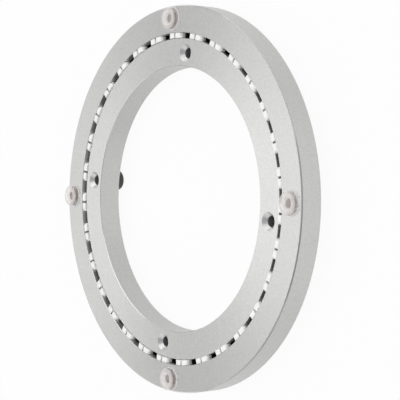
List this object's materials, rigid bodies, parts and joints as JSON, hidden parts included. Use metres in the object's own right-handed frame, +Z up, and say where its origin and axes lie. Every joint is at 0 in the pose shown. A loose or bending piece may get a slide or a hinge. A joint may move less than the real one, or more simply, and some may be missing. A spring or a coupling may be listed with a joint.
{
  "type": "lazy susan bearing",
  "caption": "Flat turntable bearing of two concentric aluminium rings that turn on caged steel balls, with clear pads on the outer ring and rubber feet under the screw holes of the inner ring.",
  "frame": {"origin": "on the bearing's axis, at the level the rubber feet stand on", "axes": "+Z up along the turning axis, +X through a screw hole of the inner ring"},
  "size_m": [0.14, 0.14, 0.0151],
  "materials": {
    "satin_aluminium": "satin anodised",
    "cage_plastic": "moulded",
    "ball_steel": "polished",
    "clear_rubber": "clear, soft",
    "black_rubber": "matte"
  },
  "bodies": {
    "base": {"inner_ring": "satin_aluminium", "rubber_foot_01": "black_rubber", "rubber_foot_02": "black_rubber", "rubber_foot_03": "black_rubber", "rubber_foot_04": "black_rubber"},
    "turntable": {"outer_ring": "satin_aluminium", "clear_pad_01": "clear_rubber", "clear_pad_02": "clear_rubber", "clear_pad_03": "clear_rubber", "clear_pad_04": "clear_rubber"},
    "cage": {"ball_cage": "cage_plastic", "ball_01": "ball_steel", "ball_02": "ball_steel", "ball_03": "ball_steel", "ball_04": "ball_steel", "ball_05": "ball_steel", "ball_06": "ball_steel", "ball_07": "ball_steel", "ball_08": "ball_steel", "ball_09": "ball_steel", "ball_10": "ball_steel", "ball_11": "ball_steel", "ball_12": "ball_steel", "ball_13": "ball_steel", "ball_14": "ball_steel", "ball_15": "ball_steel", "ball_16": "ball_steel", "ball_17": "ball_steel", "ball_18": "ball_steel", "ball_19": "ball_steel", "ball_20": "ball_steel", "ball_21": "ball_steel", "ball_22": "ball_steel", "ball_23": "ball_steel", "ball_24": "ball_steel", "ball_25": "ball_steel", "ball_26": "ball_steel", "ball_27": "ball_steel", "ball_28": "ball_steel", "ball_29": "ball_steel", "ball_30": "ball_steel", "ball_31": "ball_steel"}
  },
  "joints": [
    {"name": "turn", "type": "hinge", "parent": "base", "child": "turntable", "pos_m": [0, 0, 0.00775], "axis": [0, 0, 1], "continuous": true},
    {"name": "cage_roll", "type": "hinge", "parent": "base", "child": "cage", "pos_m": [0, 0, 0.00775], "axis": [0, 0, 1], "continuous": true}
  ],
  "couplings": [
    {"joint": "cage_roll", "follows": "turn", "ratio": 0.52013}
  ]
}
